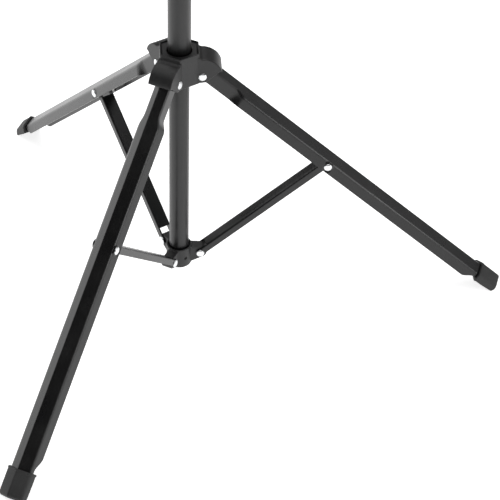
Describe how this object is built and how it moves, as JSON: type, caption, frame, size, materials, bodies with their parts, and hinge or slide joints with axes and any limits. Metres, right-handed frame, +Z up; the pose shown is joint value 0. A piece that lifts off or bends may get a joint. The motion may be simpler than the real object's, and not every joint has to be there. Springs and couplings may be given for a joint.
{
  "type": "music stand",
  "caption": "Black folding music stand: strutted tripod with rubber boots, sliding pole with a clamp knob, and a tilting desk with a ledge.",
  "frame": {"origin": "on the floor, at the middle of the footprint of the opened stand", "axes": "+Z up the poles, +X to the right seen from the player, -Y towards the player; one leg points along -Y"},
  "size_m": [0.5892, 0.5152, 1.149],
  "materials": {
    "coated_steel": "semi-gloss black powder coat on steel",
    "desk_steel": "matt black powder coat on sheet steel",
    "hub_plastic": "satin black moulded plastic",
    "boot_rubber": "dull black rubber",
    "rivet_zinc": "bright zinc plate",
    "glide_nylon": "dark smooth nylon"
  },
  "bodies": {
    "stand_body": {"upper_hub": "hub_plastic", "outer_pole": "coated_steel", "hub_rivets": "rivet_zinc", "hub_pin": "rivet_zinc", "lower_sleeve": "glide_nylon", "clamp_collar": "hub_plastic", "clamp_pad": "glide_nylon"},
    "right_leg": {"right_leg": "coated_steel", "right_boot": "boot_rubber", "right_strut_rivet": "rivet_zinc", "right_strut_bushes": "glide_nylon"},
    "front_leg": {"front_leg": "coated_steel", "front_boot": "boot_rubber", "front_strut_rivet": "rivet_zinc", "front_strut_bushes": "glide_nylon"},
    "left_leg": {"left_leg": "coated_steel", "left_boot": "boot_rubber", "left_strut_rivet": "rivet_zinc", "left_strut_bushes": "glide_nylon"},
    "right_strut": {"right_strut": "coated_steel"},
    "front_strut": {"front_strut": "coated_steel"},
    "left_strut": {"left_strut": "coated_steel"},
    "lower_hub": {"lower_hub": "hub_plastic", "lower_hub_rivets": "rivet_zinc", "lower_hub_screw": "rivet_zinc", "inner_pole": "coated_steel", "inner_pole_plug": "glide_nylon"},
    "upper_pole": {"upper_pole": "coated_steel", "upper_pole_glide": "glide_nylon"},
    "height_knob": {"height_knob_grip": "hub_plastic", "height_knob_screw": "rivet_zinc"},
    "desk_head": {"desk_head": "hub_plastic", "desk_head_screw": "rivet_zinc", "tilt_bolt": "rivet_zinc", "tilt_washers": "glide_nylon"},
    "desk": {"desk_bracket": "desk_steel", "desk_plate": "desk_steel", "desk_shelf": "desk_steel", "desk_rivets": "desk_steel", "shelf_rivets": "desk_steel"},
    "tilt_knob": {"tilt_knob_grip": "hub_plastic", "tilt_knob_nut": "rivet_zinc"}
  },
  "joints": [
    {"name": "right_leg_fold", "type": "hinge", "parent": "stand_body", "child": "right_leg", "pos_m": [0.01862, 0.09104, 0.27641], "axis": [-0.5, 0.866, 0], "range_deg": [0, 46.5]},
    {"name": "front_leg_fold", "type": "hinge", "parent": "stand_body", "child": "front_leg", "pos_m": [0, 0.05879, 0.27641], "axis": [1, 0, 0], "range_deg": [0, 46.5]},
    {"name": "left_leg_fold", "type": "hinge", "parent": "stand_body", "child": "left_leg", "pos_m": [-0.01862, 0.09104, 0.27641], "axis": [-0.5, -0.866, 0], "range_deg": [0, 46.5]},
    {"name": "right_strut_top", "type": "hinge", "parent": "right_leg", "child": "right_strut", "pos_m": [0.12677, 0.15348, 0.16553], "axis": [-0.5, 0.866, 0], "range_deg": [-93, 0]},
    {"name": "right_strut_foot", "type": "hinge", "parent": "right_strut", "child": "lower_hub", "pos_m": [0.01862, 0.09104, 0.05465], "axis": [-0.5, 0.866, 0], "range_deg": [0, 46.5]},
    {"name": "front_strut_foot", "type": "hinge", "parent": "lower_hub", "child": "front_strut", "pos_m": [0, 0.05879, 0.05465], "axis": [1, 0, 0], "range_deg": [-46.5, 0]},
    {"name": "left_strut_foot", "type": "hinge", "parent": "lower_hub", "child": "left_strut", "pos_m": [-0.01862, 0.09104, 0.05465], "axis": [-0.5, -0.866, 0], "range_deg": [-46.5, 0]},
    {"name": "height_slide", "type": "slide", "parent": "stand_body", "child": "upper_pole", "axis": [0, 0, 1], "range_m": [-0.06, 0.18]},
    {"name": "height_knob_turn", "type": "hinge", "parent": "stand_body", "child": "height_knob", "pos_m": [0, 0.08029, 0.749], "axis": [0, -1, 0], "continuous": true},
    {"name": "desk_turn", "type": "hinge", "parent": "upper_pole", "child": "desk_head", "pos_m": [0, 0.08029, 0.94], "axis": [0, 0, 1], "continuous": true},
    {"name": "desk_tilt", "type": "hinge", "parent": "desk_head", "child": "desk", "pos_m": [0, 0.08029, 0.976], "axis": [1, 0, 0], "range_deg": [-60, 10]},
    {"name": "tilt_knob_turn", "type": "hinge", "parent": "desk_head", "child": "tilt_knob", "pos_m": [0, 0.08029, 0.976], "axis": [1, 0, 0], "continuous": true}
  ],
  "couplings": [
    {"joint": "front_leg_fold", "follows": "right_leg_fold", "ratio": 1},
    {"joint": "left_leg_fold", "follows": "right_leg_fold", "ratio": 1},
    {"joint": "right_strut_top", "follows": "right_leg_fold", "ratio": -2},
    {"joint": "right_strut_foot", "follows": "right_leg_fold", "ratio": 1},
    {"joint": "front_strut_foot", "follows": "right_leg_fold", "ratio": -1},
    {"joint": "left_strut_foot", "follows": "right_leg_fold", "ratio": -1}
  ]
}
